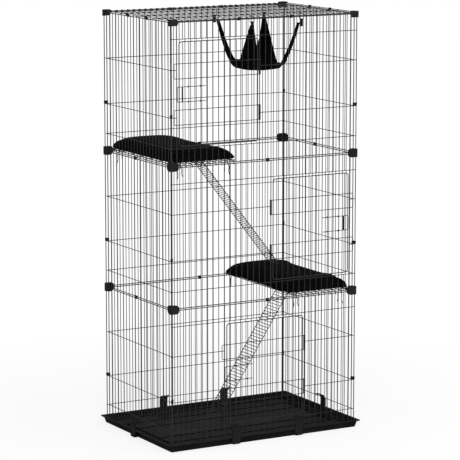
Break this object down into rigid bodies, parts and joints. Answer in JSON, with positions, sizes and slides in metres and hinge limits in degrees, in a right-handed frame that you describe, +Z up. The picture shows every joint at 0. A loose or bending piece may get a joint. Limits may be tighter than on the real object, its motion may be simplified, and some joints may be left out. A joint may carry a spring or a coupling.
{
  "type": "cat enclosure",
  "caption": "Three-storey welded wire cage in a tray, with side-hung doors, bolts, wire shelves with cushions, ladders and a cloth hammock.",
  "frame": {"origin": "middle of the tray's underside, on the ground", "axes": "+Z up, +X to the right as seen from the doors, the doors face -Y"},
  "size_m": [0.966, 0.666, 1.8161],
  "materials": {
    "tray_plastic": "moulded black polypropylene, fine satin",
    "fitting_plastic": "moulded black nylon, satin",
    "coated_wire": "black powder-coated steel wire, low satin",
    "cushion_cloth": "black polyester cloth with a slight sheen",
    "hammock_fleece": "black fleece",
    "tie_cloth": "black woven tape and cord"
  },
  "bodies": {
    "cage": {"base_tray": "tray_plastic", "bottom_corner_caps": "fitting_plastic", "lower_corner_joints": "fitting_plastic", "upper_corner_joints": "fitting_plastic", "top_corner_caps": "fitting_plastic", "corner_clips": "fitting_plastic", "joint_clips": "fitting_plastic", "top_clips": "fitting_plastic", "lower_front_panel": "coated_wire", "middle_front_panel": "coated_wire", "upper_front_panel": "coated_wire", "lower_back_panel": "coated_wire", "middle_back_panel": "coated_wire", "upper_back_panel": "coated_wire", "lower_left_panel": "coated_wire", "middle_left_panel": "coated_wire", "upper_left_panel": "coated_wire", "lower_right_panel": "coated_wire", "middle_right_panel": "coated_wire", "upper_right_panel": "coated_wire", "top_panel": "coated_wire", "lower_door_sleeves": "fitting_plastic", "middle_door_sleeves": "fitting_plastic", "upper_door_sleeves": "fitting_plastic", "lower_shelf": "coated_wire", "upper_shelf": "coated_wire", "lower_cushion": "cushion_cloth", "upper_cushion": "cushion_cloth", "lower_cushion_ties": "tie_cloth", "upper_cushion_ties": "tie_cloth", "hammock_cloth": "hammock_fleece", "hammock_straps": "tie_cloth", "hammock_hooks": "coated_wire"},
    "lower_door": {"lower_door": "coated_wire"},
    "lower_bolt": {"lower_door_bolt": "coated_wire", "lower_bolt_grip": "fitting_plastic"},
    "middle_door": {"middle_door": "coated_wire"},
    "middle_bolt": {"middle_door_bolt": "coated_wire", "middle_bolt_grip": "fitting_plastic"},
    "upper_door": {"upper_door": "coated_wire"},
    "upper_bolt": {"upper_door_bolt": "coated_wire", "upper_bolt_grip": "fitting_plastic"},
    "lower_ladder": {"lower_ladder": "coated_wire"},
    "upper_ladder": {"upper_ladder": "coated_wire"},
    "tray_latch_front_left": {"tray_latch_front_left": "fitting_plastic"},
    "tray_latch_front_right": {"tray_latch_front_right": "fitting_plastic"},
    "tray_latch_back_left": {"tray_latch_back_left": "fitting_plastic"},
    "tray_latch_back_right": {"tray_latch_back_right": "fitting_plastic"},
    "tray_latch_left": {"tray_latch_left": "fitting_plastic"},
    "tray_latch_right": {"tray_latch_right": "fitting_plastic"}
  },
  "joints": [
    {"name": "lower_door_hinge", "type": "hinge", "parent": "cage", "child": "lower_door", "pos_m": [0.19687, -0.3, 0.307], "axis": [0, 0, 1], "range_deg": [0, 165]},
    {"name": "lower_bolt_slide", "type": "slide", "parent": "lower_door", "child": "lower_bolt", "axis": [-1, 0, 0], "range_m": [0, 0.02]},
    {"name": "middle_door_hinge", "type": "hinge", "parent": "cage", "child": "middle_door", "pos_m": [0.02813, -0.3, 0.907], "axis": [0, 0, -1], "range_deg": [0, 165]},
    {"name": "middle_bolt_slide", "type": "slide", "parent": "middle_door", "child": "middle_bolt", "axis": [1, 0, 0], "range_m": [0, 0.02]},
    {"name": "upper_door_hinge", "type": "hinge", "parent": "cage", "child": "upper_door", "pos_m": [-0.02813, -0.3, 1.507], "axis": [0, 0, 1], "range_deg": [0, 165]},
    {"name": "upper_bolt_slide", "type": "slide", "parent": "upper_door", "child": "upper_bolt", "axis": [-1, 0, 0], "range_m": [0, 0.02]},
    {"name": "lower_ladder_hinge", "type": "hinge", "parent": "cage", "child": "lower_ladder", "pos_m": [0.14062, -0.20857, 0.6143], "axis": [0, 1, 0], "range_deg": [0, 14]},
    {"name": "upper_ladder_hinge", "type": "hinge", "parent": "cage", "child": "upper_ladder", "pos_m": [-0.14062, 0.12514, 1.2143], "axis": [0, -1, 0], "range_deg": [0, 14]},
    {"name": "tray_latch_front_left_hinge", "type": "hinge", "parent": "cage", "child": "tray_latch_front_left", "pos_m": [-0.15469, -0.3285, 0.009], "axis": [1, 0, 0], "range_deg": [0, 90]},
    {"name": "tray_latch_front_right_hinge", "type": "hinge", "parent": "cage", "child": "tray_latch_front_right", "pos_m": [0.15469, -0.3285, 0.009], "axis": [1, 0, 0], "range_deg": [0, 90]},
    {"name": "tray_latch_back_left_hinge", "type": "hinge", "parent": "cage", "child": "tray_latch_back_left", "pos_m": [-0.15469, 0.3285, 0.009], "axis": [-1, 0, 0], "range_deg": [0, 90]},
    {"name": "tray_latch_back_right_hinge", "type": "hinge", "parent": "cage", "child": "tray_latch_back_right", "pos_m": [0.15469, 0.3285, 0.009], "axis": [-1, 0, 0], "range_deg": [0, 90]},
    {"name": "tray_latch_left_hinge", "type": "hinge", "parent": "cage", "child": "tray_latch_left", "pos_m": [-0.4785, 0, 0.009], "axis": [0, -1, 0], "range_deg": [0, 90]},
    {"name": "tray_latch_right_hinge", "type": "hinge", "parent": "cage", "child": "tray_latch_right", "pos_m": [0.4785, 0, 0.009], "axis": [0, 1, 0], "range_deg": [0, 90]}
  ]
}
